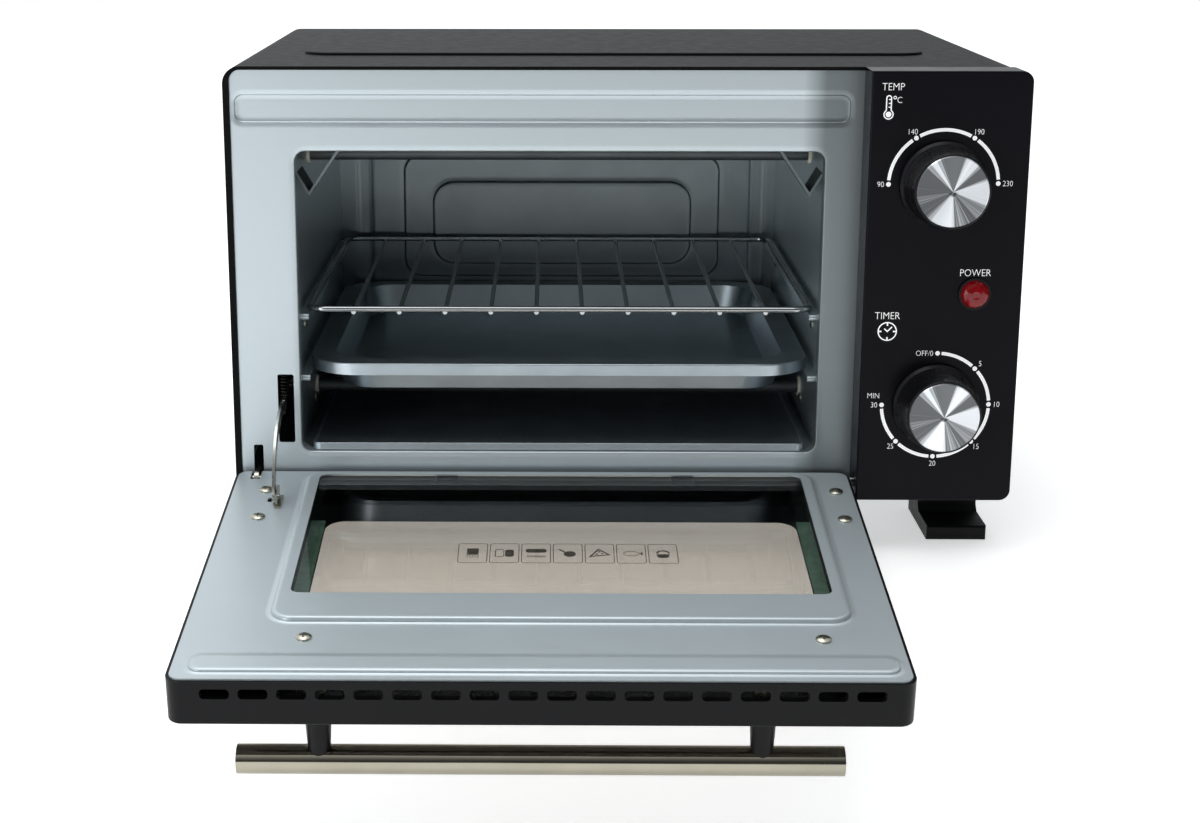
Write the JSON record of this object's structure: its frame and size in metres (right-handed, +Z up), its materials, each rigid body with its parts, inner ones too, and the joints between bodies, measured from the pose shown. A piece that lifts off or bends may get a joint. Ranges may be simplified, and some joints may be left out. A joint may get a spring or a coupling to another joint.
{
  "type": "toaster oven",
  "caption": "Compact bench-top toaster oven with an open drop-down glazed door, bar handle, side control panel with dials, wire rack and baking tray.",
  "frame": {"origin": "on the plane the feet stand on, midway across the housing, in the plane of the housing's front edge", "axes": "+Z up, +Y from the door to the back, +X to the right seen from the front"},
  "size_m": [0.3634, 0.4192, 0.2643],
  "materials": {
    "cover_paint": "fine satin enamel, charcoal",
    "base_steel": "plain galvanised sheet",
    "frame_zinc": "zinc-coated sheet, pale grey with a soft sheen",
    "cavity_steel": "galvanised sheet, soft sheen",
    "bracket_steel": "plain zinc-plated sheet",
    "panel_plastic": null,
    "door_black": "black, satin",
    "outer_glazing": "tempered pane with a black printed border",
    "inner_glazing": "tempered clear pane, greenish edges",
    "knob_plastic": "black, satin",
    "knob_metal": "spun face",
    "shaft_steel": "zinc plated",
    "lamp_red": "red faceted lens",
    "lamp_trim": "black",
    "control_metal": "zinc-plated housing",
    "terminal_plastic": "natural nylon",
    "heater_tube": "heat-toned stainless tube",
    "ceramic": "unglazed ceramic",
    "terminal_steel": "plain",
    "screw_steel": "nickel plated",
    "foot_plastic": "black, fine grain",
    "inlet_rubber": "black",
    "handle_steel": "polished stainless tube",
    "post_plastic": "black, satin",
    "spring_steel": "spring wire",
    "rack_wire": "bright plated wire",
    "tray_steel": "satin pressed sheet",
    "crumb_steel": "satin sheet"
  },
  "bodies": {
    "housing": {"outer_cover": "cover_paint", "rear_panel": "cover_paint", "base_plate": "base_steel", "heat_shield": "base_steel", "spring_post": "base_steel", "front_frame": "frame_zinc", "cavity_left": "cavity_steel", "cavity_right": "cavity_steel", "cavity_back": "cavity_steel", "cavity_ceiling": "cavity_steel", "cavity_floor": "cavity_steel", "heater_bracket_left": "bracket_steel", "heater_bracket_right": "bracket_steel", "hinge_tab": "bracket_steel", "control_panel": "panel_plastic", "hinge_pins": "shaft_steel", "lamp_lens": "lamp_red", "lamp_bezel": "lamp_trim", "lamp_holder": "lamp_trim", "thermostat": "control_metal", "timer_works": "control_metal", "timer_bell": "control_metal", "terminal_block": "terminal_plastic", "upper_heater_front": "heater_tube", "upper_heater_rear": "heater_tube", "lower_heater_front": "heater_tube", "lower_heater_rear": "heater_tube", "heater_insulators": "ceramic", "heater_terminals": "terminal_steel", "cover_screws": "screw_steel", "cavity_rivets": "screw_steel", "foot_screws": "screw_steel", "foot_front_left": "foot_plastic", "foot_front_right": "foot_plastic", "foot_rear_left": "foot_plastic", "foot_rear_right": "foot_plastic", "cable_inlet": "inlet_rubber", "link_spring": "spring_steel"},
    "door": {"door_frame": "door_black", "door_panel": "frame_zinc", "outer_glass": "outer_glazing", "inner_glass": "inner_glazing", "glass_clips": "bracket_steel", "handle_tube": "handle_steel", "handle_end_caps": "handle_steel", "handle_post_left": "post_plastic", "handle_post_right": "post_plastic", "handle_screws": "screw_steel", "door_screws": "screw_steel", "link_bracket": "bracket_steel"},
    "link": {"door_link": "shaft_steel"},
    "rack": {"wire_rack": "rack_wire"},
    "tray": {"baking_tray": "tray_steel"},
    "crumb": {"crumb_tray": "crumb_steel"},
    "temp_dial": {"temp_knob": "knob_plastic", "temp_knob_cap": "knob_metal", "temp_shaft": "shaft_steel"},
    "timer_dial": {"timer_knob": "knob_plastic", "timer_knob_cap": "knob_metal", "timer_shaft": "shaft_steel"}
  },
  "joints": [
    {"name": "door_hinge", "type": "hinge", "parent": "housing", "child": "door", "pos_m": [0, -0.004, 0.03], "axis": [-1, 0, 0], "range_deg": [0, 97.5], "deforming": ["link_spring"]},
    {"name": "link_swing", "type": "hinge", "parent": "door", "child": "link", "pos_m": [0, -0.03795, 0.03189], "axis": [-1, 0, 0], "range_deg": [-24.5, 0]},
    {"name": "rack_slide", "type": "slide", "parent": "housing", "child": "rack", "axis": [0, 1, 0], "range_m": [-0.15, 0]},
    {"name": "tray_slide", "type": "slide", "parent": "housing", "child": "tray", "axis": [0, 1, 0], "range_m": [-0.15, 0]},
    {"name": "crumb_tray_slide", "type": "slide", "parent": "housing", "child": "crumb", "axis": [0, 1, 0], "range_m": [-0.17, 0]},
    {"name": "temp_knob_turn", "type": "hinge", "parent": "housing", "child": "temp_dial", "pos_m": [0.1423, -0.0194, 0.172], "axis": [0, 1, 0], "range_deg": [0, 180]},
    {"name": "timer_knob_turn", "type": "hinge", "parent": "housing", "child": "timer_dial", "pos_m": [0.1435, -0.0194, 0.0706], "axis": [0, 1, 0], "range_deg": [0, 270]}
  ],
  "couplings": [
    {"joint": "link_swing", "follows": "door_hinge", "ratio": -0.25}
  ]
}
